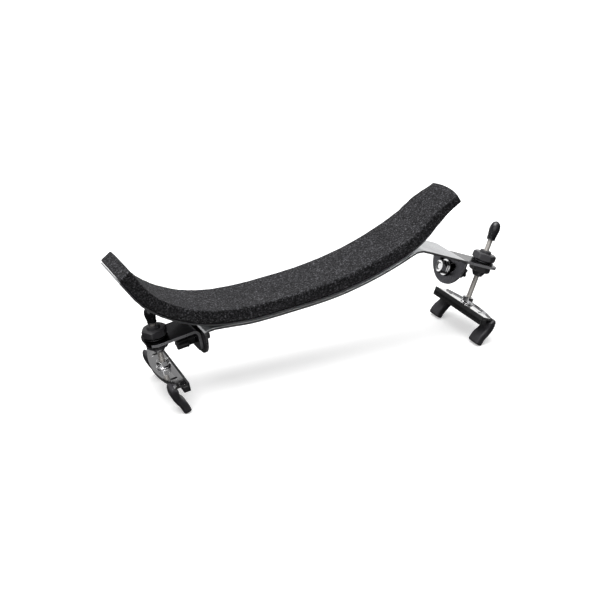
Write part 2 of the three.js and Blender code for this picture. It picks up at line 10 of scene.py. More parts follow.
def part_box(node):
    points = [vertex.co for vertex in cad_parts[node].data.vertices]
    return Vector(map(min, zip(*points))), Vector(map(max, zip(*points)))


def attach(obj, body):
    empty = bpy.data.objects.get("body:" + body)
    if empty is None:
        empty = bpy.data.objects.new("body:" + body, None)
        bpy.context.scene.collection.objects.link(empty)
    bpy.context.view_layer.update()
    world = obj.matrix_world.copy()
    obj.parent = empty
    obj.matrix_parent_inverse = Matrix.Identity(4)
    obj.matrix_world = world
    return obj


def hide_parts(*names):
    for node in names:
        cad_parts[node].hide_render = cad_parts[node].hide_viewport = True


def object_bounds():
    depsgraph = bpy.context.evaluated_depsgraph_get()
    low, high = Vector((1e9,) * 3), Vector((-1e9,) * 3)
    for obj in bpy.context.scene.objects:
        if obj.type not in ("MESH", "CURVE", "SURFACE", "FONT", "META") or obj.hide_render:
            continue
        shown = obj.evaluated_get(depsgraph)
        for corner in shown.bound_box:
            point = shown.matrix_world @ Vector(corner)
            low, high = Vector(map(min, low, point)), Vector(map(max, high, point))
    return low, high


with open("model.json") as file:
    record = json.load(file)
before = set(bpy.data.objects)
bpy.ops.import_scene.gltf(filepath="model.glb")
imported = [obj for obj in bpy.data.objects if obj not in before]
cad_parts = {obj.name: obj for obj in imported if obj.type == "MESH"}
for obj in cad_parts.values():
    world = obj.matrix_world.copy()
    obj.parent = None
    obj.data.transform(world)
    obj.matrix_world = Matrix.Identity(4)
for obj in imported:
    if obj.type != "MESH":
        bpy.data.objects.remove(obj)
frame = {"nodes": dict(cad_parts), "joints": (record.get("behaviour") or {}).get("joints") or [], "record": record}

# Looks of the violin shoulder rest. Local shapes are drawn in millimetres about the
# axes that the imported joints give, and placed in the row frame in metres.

MM = 0.001
SIDES = ("left", "right")
nodes = frame["nodes"]
cad_low, cad_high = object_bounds()


# ------------------------------------------------------------------ local frames

def joint(name):
    return next(j for j in frame["joints"] if j["name"] == name)


def local_frame(origin, along, up):
    """From a frame in millimetres, +Z on up and +X near along, to the row frame."""
    z = Vector(up).normalized()
    y = z.cross(Vector(along)).normalized()
    x = y.cross(z)
    turn = Matrix((x, y, z)).transposed().to_4x4()
    return Matrix.Translation(origin) @ turn @ Matrix.Scale(MM, 4)


def middle(node):
    low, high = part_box(node)
    return (low + high) / 2


def clamp_frame(side):
    """About the tilt bolt, +Z outwards, +X down the flange."""
    knob = joint("knob_turn_" + side)
    down = -Vector(joint("nut_turn_" + side)["axis"])
    return local_frame(knob["pos_m"], down, knob["axis"])


def leg_frame(side):
    """About the leg, +Z up it from the arm's top face, +X outwards."""
    leg = joint("nut_turn_" + side)
    return local_frame(leg["pos_m"], joint("arm_tilt_" + side)["axis"], leg["axis"])


def fork_frame(side):
    """About the leg where it meets the fork's top face, +X outwards."""
    fork = joint("fork_swivel_" + side)
    across = middle("claw_front_" + side) - middle("claw_back_" + side)
    out = across.cross(Vector(fork["axis"]))
    if out.dot(Vector(joint("arm_tilt_" + side)["axis"])) < 0:
        out = -out
    return local_frame(fork["pos_m"], out, fork["axis"])


# ------------------------------------------------------------------ meshes

WELD = 1e-7               # metres: points of a made mesh that are one point
CAD_WELD = 1e-6           # metres: the same, for a CAD node's mesh
FLAT_ANGLE = 0.6          # degrees: faces that are really one flat face
EDGE_ANGLE = 40           # degrees: edges that are eased
EASED_SEGMENTS = 2
EASED_SHARP = 28          # degrees: edges of an eased copy that stay sharp
ALL_SMOOTH = 180          # degrees: no edge stays sharp


def new_piece(name, vertices, faces, place, sharp):
    mesh = bpy.data.meshes.new(name)
    mesh.from_pydata([place @ Vector(v) for v in vertices], [], faces)
    shape = bmesh.new()
    shape.from_mesh(mesh)
    bmesh.ops.remove_doubles(shape, verts=shape.verts, dist=WELD)
    bmesh.ops.recalc_face_normals(shape, faces=shape.faces)
    shape.to_mesh(mesh)
    shape.free()
    smooth(mesh, sharp)
    return linked(name, mesh)


def linked(name, mesh):
    """An object whose flat faces stay flat beside their rounded edges."""
    piece = bpy.data.objects.new(name, mesh)
    bpy.context.scene.collection.objects.link(piece)
    level = piece.modifiers.new("Flat faces", "WEIGHTED_NORMAL")
    level.keep_sharp = True
    level.weight = 80
    return piece


def smooth(mesh, sharp):
    mesh.shade_smooth()
    mesh.set_sharp_from_angle(angle=math.radians(sharp))


def stand_for(piece, node, material):
    """piece takes the place of a CAD node, on its body and with the given material."""
    record = frame["record"]
    body = next(b for b, names in record["behaviour"]["bodies"].items() if node in names)
    piece.data.materials.clear()
    piece.data.materials.append(material)
    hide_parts(node)
    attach(piece, body)
    return piece


def eased_copy(node, name, bevel, material, rim=None):
    """A CAD node's shape with its sharp edges eased by a radius in millimetres. rim is
    the material of the eased edges, where it differs."""
    shape = bmesh.new()
    shape.from_mesh(nodes[node].data)
    bmesh.ops.remove_doubles(shape, verts=shape.verts, dist=CAD_WELD)
    bmesh.ops.dissolve_limit(
        shape, angle_limit=math.radians(FLAT_ANGLE), verts=shape.verts, edges=shape.edges)
    edges = [e for e in shape.edges
             if len(e.link_faces) == 2 and e.calc_face_angle(0) > math.radians(EDGE_ANGLE)]
    bmesh.ops.bevel(
        shape, geom=edges, offset=bevel * MM, segments=EASED_SEGMENTS, profile=0.5,
        affect="EDGES", clamp_overlap=True, material=1 if rim else -1)
    bmesh.ops.triangulate(shape, faces=shape.faces)
    mesh = bpy.data.meshes.new(name)
    shape.to_mesh(mesh)
    shape.free()
    smooth(mesh, EASED_SHARP)
    piece = stand_for(linked(name, mesh), node, material)
    if rim:
        piece.data.materials.append(rim)
    return piece


def lathe(profile, steps, shape=None):
    """A closed body turned about Z from (radius, height) pairs. A profile that does not
    start and end on the axis closes on itself. shape(angle, radius, height) reshapes
    each point's radius."""
    vertices, rows = [], []
    for radius, height in profile:
        if radius == 0:
            vertices.append((0, 0, height))
            rows.append([len(vertices) - 1] * steps)
            continue
        row = []
        for i in range(steps):
            angle = 2 * math.pi * i / steps
            r = shape(angle, radius, height) if shape else radius
            row.append(len(vertices))
            vertices.append((r * math.cos(angle), r * math.sin(angle), height))
        rows.append(row)
    if profile[0][0] != 0:
        rows.append(rows[0])
    faces = []
    for low, high in zip(rows, rows[1:]):
        for i in range(steps):
            j = (i + 1) % steps
            face = list(dict.fromkeys((low[i], low[j], high[j], high[i])))
            if len(face) > 2:
                faces.append(face)
    return vertices, faces


def arc(radius, height, size, start, end, steps=5):
    """Points of a rounded edge about (radius, height), from one angle to another."""
    return [(radius + size * math.cos(math.radians(start + (end - start) * i / steps)),
             height + size * math.sin(math.radians(start + (end - start) * i / steps)))
            for i in range(steps + 1)]


def hexagonal(flats, turn=0):
    """Keeps a turned blank inside a hexagon with slightly eased corners."""
    corner = flats / 2 / math.cos(math.pi / 6)

    def shape(angle, radius, height):
        away = ((angle - turn) % (math.pi / 3)) - math.pi / 6
        return min(radius, flats / 2 / math.cos(away), corner * 0.985)
    return shape


def hex_profile(bore, flats, low, high, chamfer_low=True, chamfer_high=True):
    """Blank of a nut: flat faces, and corners turned off at 30 degrees."""
    corner = flats / 2 / math.cos(math.pi / 6)
    face = flats / 2 * 0.94
    rise = (corner - face) * math.tan(math.radians(30))
    cone = [(face + (corner - face) * i / 6, rise * i / 6) for i in range(7)]
    eased = 0.2
    if chamfer_low:
        lower = [(r, low + h) for r, h in cone]
    else:
        lower = arc(corner - eased, low + eased, eased, -90, 0)
    if chamfer_high:
        upper = [(r, high - h) for r, h in reversed(cone)]
    else:
        upper = arc(corner - eased, high - eased, eased, 0, 90)
    countersink = 0.35
    start = [(bore, low + countersink), (bore + countersink, low)] if bore else [(0, low)]
    end = [(bore + countersink, high), (bore, high - countersink)] if bore else [(0, high)]
    return start + lower + upper + end


def smooth_line(points, count):
    """Points spaced evenly along a smooth line through the given ones."""
    pts = np.array(points, float)
    pts = np.vstack([2 * pts[0] - pts[1], pts, 2 * pts[-1] - pts[-2]])
    dense = []
    for p0, p1, p2, p3 in zip(pts, pts[1:], pts[2:], pts[3:]):
        t1 = np.linalg.norm(p1 - p0) ** 0.5
        t2 = t1 + np.linalg.norm(p2 - p1) ** 0.5
        t3 = t2 + np.linalg.norm(p3 - p2) ** 0.5
        for t in np.linspace(t1, t2, 16, endpoint=False):
            a1 = p0 + (p1 - p0) * t / t1
            a2 = p1 + (p2 - p1) * (t - t1) / (t2 - t1)
            a3 = p2 + (p3 - p2) * (t - t2) / (t3 - t2)
            b1 = a1 + (a2 - a1) * t / t2
            b2 = a2 + (a3 - a2) * (t - t1) / (t3 - t1)
            dense.append(b1 + (b2 - b1) * (t - t1) / (t2 - t1))
    dense.append(pts[-2])
    return evenly(np.array(dense), count)


def evenly(line, count):
    steps = np.linalg.norm(np.diff(line, axis=0), axis=1)
    along = np.concatenate([[0], np.cumsum(steps)])
    at = np.linspace(0, along[-1], count)
    return np.stack([np.interp(at, along, line[:, k]) for k in range(line.shape[1])], 1)


def rounded_block(size, radius, cells):
    """Surface grid of a block about the origin whose edges are rounded."""
    lines = []
    for length, count in zip(size, cells):
        inner = length / 2 - radius
        edge = [radius * share for share in (0, 0.35, 0.75)]
        middle_part = list(np.linspace(-inner, inner, max(count, 2)))
        lines.append([-length / 2 + e for e in edge] + middle_part
                     + [length / 2 - e for e in reversed(edge)])
    last = [len(line) - 1 for line in lines]
    index, vertices, faces = {}, [], []

    def vertex(cell):
        if cell not in index:
            point = np.array([lines[k][cell[k]] for k in range(3)])
            half = np.array(size) / 2 - radius
            inner = np.clip(point, -half, half)
            out = point - inner
            point = inner + out * radius / max(np.linalg.norm(out), 1e-9)
            index[cell] = len(vertices)
            vertices.append(tuple(point))
        return index[cell]

    for axis in range(3):
        u, v = [k for k in range(3) if k != axis]
        for side in (0, last[axis]):
            for i in range(last[u]):
                for j in range(last[v]):
                    corners = []
                    for di, dj in ((0, 0), (1, 0), (1, 1), (0, 1)):
                        cell = [0, 0, 0]
                        cell[axis], cell[u], cell[v] = side, i + di, j + dj
                        corners.append(vertex(tuple(cell)))
                    faces.append(corners)
    return vertices, faces


# ------------------------------------------------------------------ materials

class Shader:
    """A node material about one Principled shader."""

    def __init__(self, name, colour, rough, metal=0.0):
        self.material = bpy.data.materials.new(name)
        self.material.use_nodes = True
        self.tree = self.material.node_tree
        self.bsdf = self.tree.nodes["Principled BSDF"]
        self.bsdf.inputs["Base Color"].default_value = (*colour, 1)
        self.bsdf.inputs["Roughness"].default_value = rough
        self.bsdf.inputs["Metallic"].default_value = metal
        self.where = self.tree.nodes.new("ShaderNodeTexCoord").outputs["Object"]

    def add(self, kind, links=(), **values):
        node = self.tree.nodes.new(kind)
        for key, value in values.items():
            if hasattr(node, key):
                setattr(node, key, value)
            else:
                node.inputs[key.replace("_", " ")].default_value = value
        for socket, source in dict(links).items():
            self.tree.links.new(source, node.inputs[socket])
        return node

    def stretched(self, scale):
        return self.add("ShaderNodeMapping", {"Vector": self.where}, Scale=scale).outputs["Vector"]

    def noise(self, scale, detail, roughness=0.55, where=None):
        return self.add("ShaderNodeTexNoise", {"Vector": where or self.where},
                        Scale=scale, Detail=detail, Roughness=roughness).outputs["Fac"]

    def cells(self, scale):
        return self.add("ShaderNodeTexVoronoi", {"Vector": self.where}, Scale=scale).outputs["Distance"]

    def ramp(self, source, stops):
        """Greys or colours at places along 0 to 1."""
        node = self.add("ShaderNodeValToRGB", {"Fac": source})
        elements = node.color_ramp.elements
        while len(elements) < len(stops):
            elements.new(0.5)
        for element, (place, value) in zip(elements, stops):
            element.position = place
            colour = (value,) * 3 if isinstance(value, (int, float)) else value
            element.color = (*colour, 1)
        return node.outputs["Color"]

    def map(self, source, low, high, to_low, to_high):
        return self.add("ShaderNodeMapRange", {"Value": source}, From_Min=low, From_Max=high,
                        To_Min=to_low, To_Max=to_high).outputs["Result"]

    def mix(self, share, first, second, blend="MIX"):
        node = self.add("ShaderNodeMix", data_type="RGBA", blend_type=blend)
        for socket, value in ((node.inputs[0], share), (node.inputs[6], first), (node.inputs[7], second)):
            if isinstance(value, bpy.types.NodeSocket):
                self.tree.links.new(value, socket)
            else:
                socket.default_value = value if isinstance(value, float) else (*value, 1)
        return node.outputs[2]

    def bump(self, height, distance, strength, below=None):
        node = self.add("ShaderNodeBump", {"Height": height}, Strength=strength, Distance=distance)
        if below:
            self.tree.links.new(below, node.inputs["Normal"])
        return node.outputs["Normal"]

    def edges(self):
        """Near 1 on outer edges, from the mesh's own curvature."""
        sharpness = self.add("ShaderNodeNewGeometry").outputs["Pointiness"]
        return self.map(sharpness, 0.52, 0.6, 0.0, 1.0)

    def use(self, **sources):
        for name, source in sources.items():
            self.tree.links.new(source, self.bsdf.inputs[name.replace("_", " ")])
        return self.material


def foam_material():
    """Charcoal open-cell foam: lit cell walls over dark pores, with slow mottling."""
    s = Shader("foam_charcoal", (0.03, 0.03, 0.033), 0.95)
    s.bsdf.inputs["Specular IOR Level"].default_value = 0.12
    s.bsdf.inputs["Sheen Weight"].default_value = 0.03
    s.bsdf.inputs["Sheen Roughness"].default_value = 0.6
    pores = s.cells(1100)
    grains = s.noise(1000, detail=2, roughness=0.6)
    clumps = s.noise(420, detail=4, roughness=0.65)
    mottle = s.noise(45, detail=3)
    wall = s.ramp(pores, [(0.0, 0.003), (0.45, 0.014), (0.8, 0.05)])
    fleck = s.ramp(grains, [(0.44, 0.006), (0.54, 0.022), (0.66, 0.13)])
    colour = s.mix(0.6, wall, fleck)
    light = s.mix(s.map(clumps, 0.35, 0.68, 0.0, 1.0), (0.62, 0.62, 0.66), (1.52, 1.5, 1.6))
    colour = s.mix(1.0, colour, light, "MULTIPLY")
    slow = s.mix(s.map(mottle, 0.3, 0.7, 0.0, 1.0), (1.04, 1.04, 1.07), (1.3, 1.3, 1.31))
    colour = s.mix(1.0, colour, slow, "MULTIPLY")
    coarse = s.bump(clumps, 0.0006, 0.5)
    fine = s.bump(pores, 0.0005, 0.7, coarse)
    return s.use(Base_Color=colour, Normal=fine,
                 Roughness=s.map(clumps, 0.3, 0.7, 0.86, 1.0))


def metal(name, colour, rough, brush=(30, 900, 900), brush_rough=0.12, bump=0.00001, tint=0.12, shine=1.0):
    """Metal with fine lines along its longest side, dull patches, fine scratches and
    paler edges."""
    s = Shader(name, colour, rough, shine)
    lines = s.noise(1, detail=3, roughness=0.6, where=s.stretched(brush))
    cloud = s.noise(70, detail=4)
    scratch = s.noise(1, detail=2, where=s.stretched((260, 1400, 300)))
    brushed = s.map(lines, 0.3, 0.7, rough - brush_rough / 2, rough + brush_rough / 2)
    dulled = s.map(cloud, 0.35, 0.7, 0.0, brush_rough * 0.5)
    roughness = s.add("ShaderNodeMath", {0: brushed, 1: dulled}, operation="ADD").outputs[0]
    dull = tuple(c * (1 - tint) for c in colour)
    tone = s.mix(s.map(cloud, 0.35, 0.65, 0.0, 1.0), colour, dull)
    edge = s.mix(s.edges(), tone, tuple(min(1.0, c * 1.15 + 0.02) for c in colour))
    return s.use(Base_Color=edge, Roughness=roughness,
                 Normal=s.bump(scratch, bump, 0.35, s.bump(lines, bump, 0.6)))


def moulded(name, colour, rough, grain=2200, depth=0.00003, wear=0.16, coat=0.0):
    """Moulded plastic or rubber: fine grain, uneven gloss and paler rubbed edges."""
    s = Shader(name, colour, rough)
    s.bsdf.inputs["Specular IOR Level"].default_value = 0.5
    s.bsdf.inputs["Coat Weight"].default_value = coat
    s.bsdf.inputs["Coat Roughness"].default_value = 0.25
    fine = s.noise(grain, detail=3, roughness=0.6)
    patches = s.noise(130, detail=4)
    dust = s.noise(900, detail=6, roughness=0.7)
    pale = tuple(c * 1.5 + 0.012 for c in colour)
    tone = s.mix(s.map(patches, 0.35, 0.7, 0.0, 1.0), colour, pale)
    tone = s.mix(s.map(dust, 0.62, 0.78, 0.0, 0.35), tone, (0.16, 0.16, 0.16))
    rubbed = s.add("ShaderNodeMath", {0: s.edges(), 1: s.map(patches, 0.3, 0.6, 0.2, 1.0)},
                   operation="MULTIPLY").outputs[0]
    tone = s.mix(rubbed, tone, (wear,) * 3)
    return s.use(Base_Color=tone, Roughness=s.map(patches, 0.3, 0.7, rough - 0.07, rough + 0.1),
                 Normal=s.bump(fine, depth, 0.7))


foam_look = foam_material()
bar_look = metal("brushed_aluminium", (0.80, 0.81, 0.82), 0.30)
carrier_look = metal("cut_aluminium", (0.72, 0.73, 0.75), 0.34, brush=(60, 700, 1400))
arm_look = metal("black_nickel", (0.055, 0.055, 0.06), 0.17, brush_rough=0.08, bump=0.000003)
# Paler half-metal for the arms' cut edges and eased rims: a painted highlight, not bare metal.
painted_highlight_rim_look = metal("painted_highlight_rim", (0.50, 0.50, 0.52), 0.3, brush=(300, 300, 300), shine=0.5)
# Darker copy of the bar's aluminium for the flat faces of its flanges: painted shade, not a different metal.
painted_shade_flange_look = metal("painted_shade_flange", (0.11, 0.11, 0.12), 0.27)
chrome_look = metal("polished_chrome", (0.86, 0.86, 0.87), 0.08, brush_rough=0.05,
                    bump=0.0000005, tint=0.05)
steel_look = metal("bright_steel", (0.88, 0.84, 0.79), 0.30, brush=(400, 400, 400),
                   brush_rough=0.14, shine=0.5)
nut_look = moulded("black_plastic", (0.046, 0.045, 0.050), 0.32, wear=0.18)
knob_look = moulded("knob_plastic", (0.012, 0.012, 0.014), 0.4, wear=0.09)
sleeve_look = moulded("sleeve_rubber", (0.024, 0.023, 0.027), 0.5, grain=1500,
                      depth=0.00006, wear=0.09)
cap_look = moulded("cap_vinyl", (0.008, 0.008, 0.010), 0.18, wear=0.05, coat=0.6)
bumper_look = moulded("bumper_rubber", (0.012, 0.012, 0.013), 0.55, grain=1300,
                      depth=0.00006, wear=0.07)


# ------------------------------------------------------------------ foam pad

PAD_EDGE = 0.9            # rounding of the pad's cut edges
PAD_CELLS = (125, 18, 4)
PAD_TIP_ROUND = 56        # radius of the right end in plan
PAD_TIP_REACH = 30        # how far back the rounded end pulls the grid
PAD_SAMPLES = 400         # points along the pad's middle line
CLOTH_FRAMES = 20
CLOTH_PRESSURE = 4
SWELL_CAP = 0.35          # the foam is a cut block, so its skin hardly swells


def section_outline(node):
    """Where the plane Y = 0 cuts a CAD node: (x, z) points in millimetres, in order."""
    shape = bmesh.new()
    shape.from_mesh(nodes[node].data)
    bmesh.ops.remove_doubles(shape, verts=shape.verts, dist=CAD_WELD)
    cut = bmesh.ops.bisect_plane(
        shape, geom=shape.verts[:] + shape.edges[:] + shape.faces[:],
        plane_co=(0, 0, 0), plane_no=(0, 1, 0), clear_inner=True, clear_outer=True)
    edges = [e for e in cut["geom_cut"] if isinstance(e, bmesh.types.BMEdge)]
    links = {}
    for edge in edges:
        a, b = edge.verts
        links.setdefault(a, []).append(b)
        links.setdefault(b, []).append(a)
    start = min(links, key=lambda v: v.co.x)
    outline, before, at = [start], None, start
    while True:
        step = [v for v in links[at] if v is not before and v is not at]
        if not step or step[0] is start:
            break
        before, at = at, step[0]
        outline.append(at)
    points = np.array([(v.co.x, v.co.z) for v in outline]) / MM
    shape.free()
    return points


def pad_edges():
    """The pad's underside and top in the middle plane, left to right."""
    outline = section_outline("foam_pad")
    step = np.roll(outline, -1, axis=0) - outline
    heading = np.arctan2(step[:, 1], step[:, 0])
    turn = np.abs((heading - np.roll(heading, 1) + math.pi) % (2 * math.pi) - math.pi)
    corners = sorted(np.argsort(turn)[-4:])
    chains = []
    for a, b in zip(corners, corners[1:] + [corners[0] + len(outline)]):
        chains.append(np.array([outline[i % len(outline)] for i in range(a, b + 1)]))
    chains.sort(key=lambda c: -np.linalg.norm(np.diff(c, axis=0), axis=1).sum())
    pair = [c if c[0, 0] < c[-1, 0] else c[::-1] for c in chains[:2]]
    return sorted(pair, key=lambda c: c[:, 1].mean())


def pad_half_width():
    """Half the pad's width against x, from the CAD node's own corners."""
    points = [v.co / MM for v in nodes["foam_pad"].data.vertices]
    widest = max(abs(p.y) for p in points)
    known = sorted({(round(p.x, 2), round(abs(p.y), 2)) for p in points if abs(p.y) > 0.8 * widest})
    xs, halves = zip(*known)
    return lambda x: np.interp(x, xs, halves)


def foam_pad():
    count = PAD_SAMPLES
    under, over = (evenly(chain, count) for chain in pad_edges())
    half_width = pad_half_width()
    centre = (under + over) / 2
    length = np.linalg.norm(np.diff(centre, axis=0), axis=1).sum()
    thickness = np.linalg.norm(over - under, axis=1).max()
    width = 2 * max(half_width(x) for x in centre[:, 0])
    vertices, faces = rounded_block((length, width, thickness), PAD_EDGE, PAD_CELLS)
    bent = []
    for x, y, z in vertices:
        place = np.interp(x / length + 0.5, np.linspace(0, 1, count), centre[:, 0])
        y = y * half_width(place) * 2 / width
        near = min(1.0, max(0.0, (x - length / 2 + PAD_TIP_REACH) / PAD_TIP_REACH))
        back = PAD_TIP_ROUND - math.sqrt(PAD_TIP_ROUND ** 2 - y * y)
        share = min(1.0, max(0.0, (x - back * near * near) / length + 0.5)) * (count - 1)
        i = min(int(share), count - 2)
        low, high = (chain[i] + (chain[i + 1] - chain[i]) * (share - i) for chain in (under, over))
        at = low + (high - low) * (z / thickness + 0.5)
        bent.append((at[0], y, at[1]))
    piece = new_piece("foam_cushion", bent, faces, Matrix.Scale(MM, 4), ALL_SMOOTH)
    relax(piece, under)
    subdivide(piece)
    stand_for(piece, "foam_pad", foam_look)


def relax(piece, under):
    """Blows the foam's skin out a little with a cloth simulation; its glued underside
    is held, and no point moves more than the cap."""
    mesh = piece.data
    held = piece.vertex_groups.new(name="held")
    for v in mesh.vertices:
        floor = np.interp(v.co.x / MM, under[:, 0], under[:, 1]) * MM
        if v.normal.z < -0.5 or v.co.z < floor:
            held.add([v.index], 1.0, "REPLACE")
    rest = np.array([v.co for v in mesh.vertices])
    cloth = piece.modifiers.new("Cloth", "CLOTH").settings
    cloth.use_pressure = True
    cloth.uniform_pressure_force = CLOTH_PRESSURE
    cloth.effector_weights.gravity = 0
    cloth.vertex_group_mass = "held"
    cloth.tension_stiffness = cloth.compression_stiffness = 40
    scene = bpy.context.scene
    for number in range(1, CLOTH_FRAMES + 1):
        scene.frame_set(number)
    blown = piece.evaluated_get(bpy.context.evaluated_depsgraph_get()).data
    moved = np.array([v.co for v in blown.vertices]) - rest
    piece.modifiers.clear()
    piece.vertex_groups.clear()
    scene.frame_set(1)
    size = np.linalg.norm(moved, axis=1, keepdims=True)
    moved *= SWELL_CAP * MM / np.maximum(size, SWELL_CAP * MM)
    mesh.vertices.foreach_set("co", (rest + moved).ravel())
    mesh.update()


def subdivide(piece):
    """One subdivision, applied."""
    modifier = piece.modifiers.new("Subdivision", "SUBSURF")
    modifier.levels = modifier.render_levels = 1
    made = bpy.data.meshes.new_from_object(
        piece.evaluated_get(bpy.context.evaluated_depsgraph_get()))
    piece.modifiers.clear()
    piece.data = made
    made.shade_smooth()


# ------------------------------------------------------------------ clamp

BAR_THICKNESS = 1.5
FLANGE_REACH = 20         # farther from the bolt than any point of the bar's flange


def bent_bar():
    """The bar, whose two round flanges get a darker copy of its metal inside their bright rims: painted shade,
    since the flanges are the same aluminium as the bar.
    """
    piece = eased_copy("base_bar", "bent_bar", 0.3, bar_look)
    # The flat faces of the flanges take the darker copy: painted shade.
    piece.data.materials.append(painted_shade_flange_look)
    for side in SIDES:
        back = clamp_frame(side).inverted()
        axis = Vector(joint("knob_turn_" + side)["axis"])
        for face in piece.data.polygons:
            at = back @ face.center
            flat = abs(face.normal.dot(axis)) > 0.97
            if flat and abs(at.z) < 2 * BAR_THICKNESS and math.hypot(at.x, at.y) < FLANGE_REACH:
                face.material_index = 1


GAP = 0.3
FLANGE_OUTER = 2.1        # outer face of the arm's flange
BOLT_RADIUS = 2.5
BOLT_FLATS = 8
BOLT_HEAD = 4.2           # height of the head
DISH_DEPTH = 0.5          # of the hollow in the head's face
WASHER_RADIUS = 5.7
KNOB_START = FLANGE_OUTER + GAP
KNOB_NECK = 4.6
KNOB_LENGTH = 11.4
KNOB_RADIUS = 4.6
KNOB_LOBES = 6
KNOB_LOBE_DEPTH = 0.7


def arm_plate(side):
    """The arm, black on its faces, with a paler metal on its cut edges and eased rims: a painted highlight."""
    piece = eased_copy("arm_bracket_" + side, "arm_" + side + "_plate", 0.35, arm_look, rim=painted_highlight_rim_look)
    # The faces along the arm's sides also take the paler metal: painted highlight.
    for face in piece.data.polygons:
        if abs(face.normal.y) > 0.7:
            face.material_index = 1


def tilt_bolt(side):
    """Hex bolt with a turned-off, slightly dished head."""
    top = -(BAR_THICKNESS + 1 + 2 * GAP)
    low = top - BOLT_HEAD
    end = FLANGE_OUTER + KNOB_LENGTH - 2
    blank = hex_profile(0, BOLT_FLATS, low, top, chamfer_high=False)
    dish = [(0, low + DISH_DEPTH), (1.9, low + DISH_DEPTH), (2.5, low + 0.08)]
    shank = [(BOLT_RADIUS, top), (BOLT_RADIUS, end - 0.5), (BOLT_RADIUS - 0.5, end), (0, end)]
    profile = dish + blank[1:-1] + shank
    vertices, faces = lathe(profile, 72, hexagonal(BOLT_FLATS))
    stand_for(new_piece("bolt_" + side, vertices, faces, clamp_frame(side), 20),
              "tilt_bolt_" + side, chrome_look)


def tilt_washer(side):
    top = -(BAR_THICKNESS + GAP)
    bore = BOLT_RADIUS + GAP
    profile = [(bore, top - 1), *arc(WASHER_RADIUS - 0.35, top - 0.65, 0.35, -90, 0),
               *arc(WASHER_RADIUS - 0.2, top - 0.2, 0.2, 0, 90), (bore, top)]
    vertices, faces = lathe(profile, 64)
    stand_for(new_piece("washer_" + side, vertices, faces, clamp_frame(side), 30),
              "tilt_washer_" + side, chrome_look)


def tilt_knob(side):
    """Lobed knob with a plain neck and a domed end."""
    head = KNOB_START + KNOB_NECK
    end = KNOB_START + KNOB_LENGTH
    bore = BOLT_RADIUS + GAP
    seat = end - 2

    def lobed(angle, radius, height):
        share = min(1.0, max(0.0, (height - head) / 0.8)) * min(1.0, radius / KNOB_RADIUS)
        return radius - KNOB_LOBE_DEPTH * share * (1 - math.cos(KNOB_LOBES * angle))

    profile = [(0, seat), (bore, seat), (bore, KNOB_START), *arc(3.4, KNOB_START + 0.3, 0.3, -90, 0),
               (3.7, head - 0.6), *arc(KNOB_RADIUS - 0.6, head + 0.2, 0.6, -90, 0, 4),
               (KNOB_RADIUS, (head + end) / 2), *arc(KNOB_RADIUS - 1.1, end - 1.1, 1.1, 0, 80, 6),
               (2.4, end), (0, end)]
    vertices, faces = lathe(profile, 96, lobed)
    stand_for(new_piece("knob_" + side, vertices, faces, clamp_frame(side), 40),
              "tilt_knob_" + side, knob_look)


# ------------------------------------------------------------------ leg

ROD_RADIUS = 1.7
THREAD_PITCH = 0.6
THREAD_DEPTH = 0.05
LEG_BORE = 2              # radius of every hole that the rod runs through
NUT_BOTTOM = 1.4
NUT_HEIGHT = 5
NUT_FLATS = 14
LOWER_NUT_FLATS = 12.8
LOWER_NUT_HEIGHT = 4.4
FORK_NUT_FLATS = 7
FORK_NUT_HEIGHT = 4.4
INSERT_STAND_OUT = 1.8
ARM_THICKNESS = 1.8
NUT_TURN = {"left": 0, "right": math.pi / 6}
FORK_THICKNESS = 1.5


def nut_washer(side):
    profile = [(LEG_BORE, 0.3), *arc(7.25, 0.55, 0.25, -90, 0), *arc(7.25, 0.85, 0.25, 0, 90),
               (LEG_BORE, 1.1)]
    vertices, faces = lathe(profile, 72)
    stand_for(new_piece("seat_washer_" + side, vertices, faces, leg_frame(side), 30),
              "nut_washer_" + side, arm_look)


def height_nut(side):
    top = NUT_BOTTOM + NUT_HEIGHT
    profile = hex_profile(LEG_BORE, NUT_FLATS, NUT_BOTTOM, top)[:-2]
    recess = NUT_BOTTOM + 0.9
    profile += [(4.4, top), (4.1, top - 0.3), (4.1, recess), (LEG_BORE, recess)]
    vertices, faces = lathe(profile, 96, hexagonal(NUT_FLATS, NUT_TURN[side]))
    stand_for(new_piece("hand_nut_" + side, vertices, faces, leg_frame(side), 25),
              "height_nut_" + side, nut_look)


def nut_insert(side):
    low, high = NUT_BOTTOM + 1.2, NUT_BOTTOM + NUT_HEIGHT + INSERT_STAND_OUT
    profile = [(LEG_BORE, low), *arc(3.5, low + 0.3, 0.3, -90, 0), *arc(3.3, high - 0.5, 0.5, 0, 90),
               (2.3, high), (LEG_BORE, high - 0.3)]
    vertices, faces = lathe(profile, 48)
    stand_for(new_piece("collar_insert_" + side, vertices, faces, leg_frame(side), 30),
              "nut_insert_" + side, nut_look)


def lower_nut(side):
    top = -ARM_THICKNESS - GAP
    low = top - LOWER_NUT_HEIGHT
    blank = hex_profile(LEG_BORE, LOWER_NUT_FLATS, low, top)
    collar = [(LEG_BORE, low - 3.1), (2.3, low - 3.4), (2.9, low - 3.4), (3.2, low - 3.1),
              (4.3, low - 1.0), (4.5, low - 0.1)]
    profile = collar + blank[2:]
    vertices, faces = lathe(profile, 96, hexagonal(LOWER_NUT_FLATS, NUT_TURN[side]))
    stand_for(new_piece("lock_nut_" + side, vertices, faces, leg_frame(side), 25),
              "lower_nut_" + side, nut_look)


